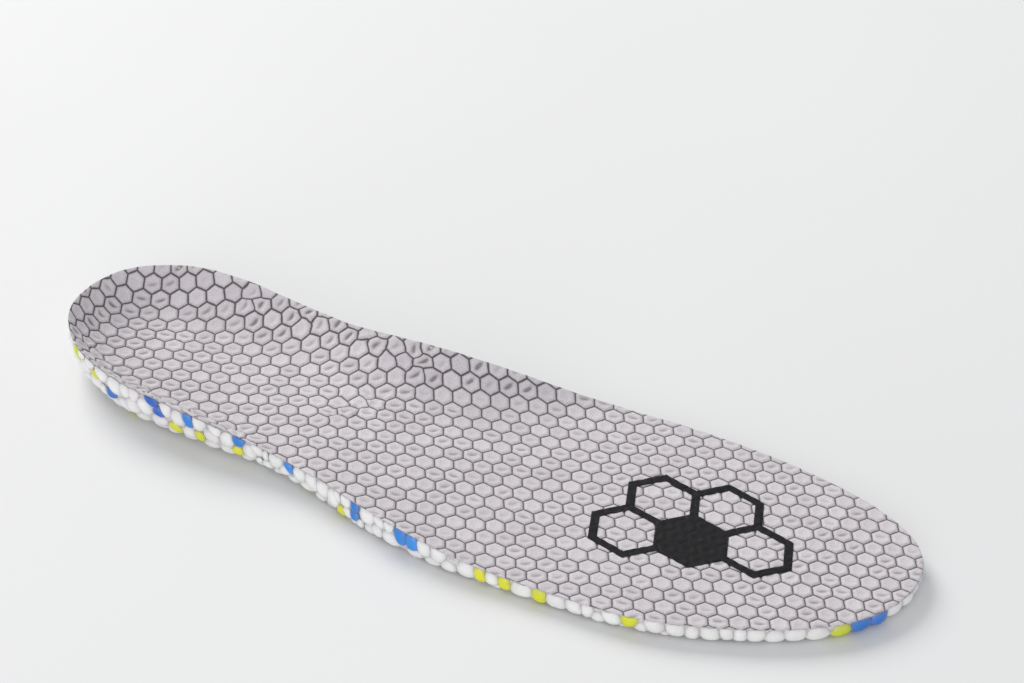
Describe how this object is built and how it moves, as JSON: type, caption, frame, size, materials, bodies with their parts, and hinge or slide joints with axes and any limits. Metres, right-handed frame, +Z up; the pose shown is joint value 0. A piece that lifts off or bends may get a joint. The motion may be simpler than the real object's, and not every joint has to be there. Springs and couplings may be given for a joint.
{
  "type": "cushioned insole",
  "caption": "Right shoe insole with a heel cup and arch flange: honeycomb fabric over fused foam beads, gel pads under heel and forefoot.",
  "frame": {"origin": "middle of the underside of the whole insole's box, in the plane of the gel pads' lower faces", "axes": "+X from heel to toe, +Y towards the medial (big toe) side, +Z up through the fabric"},
  "size_m": [0.2698, 0.0956, 0.0214],
  "materials": {
    "cover_fabric": "matt knitted fabric with a grey honeycomb",
    "lining_fabric": "matt black knit",
    "melt_film": "translucent hot-melt film",
    "bead_foam": "satin fused foam beads, white with a few blue and yellow ones",
    "pad_gel": "satin blue gel with small domed nubs",
    "print_ink": "matt black heat-transfer print"
  },
  "bodies": {
    "root": {"top_cover": "cover_fabric", "cover_backing": "lining_fabric", "cover_adhesive": "melt_film", "bead_foam_base": "bead_foam", "heel_pad": "pad_gel", "heel_pad_adhesive": "melt_film", "forefoot_pad": "pad_gel", "forefoot_pad_adhesive": "melt_film", "top_print": "print_ink", "pad_print": "print_ink"}
  },
  "joints": []
}
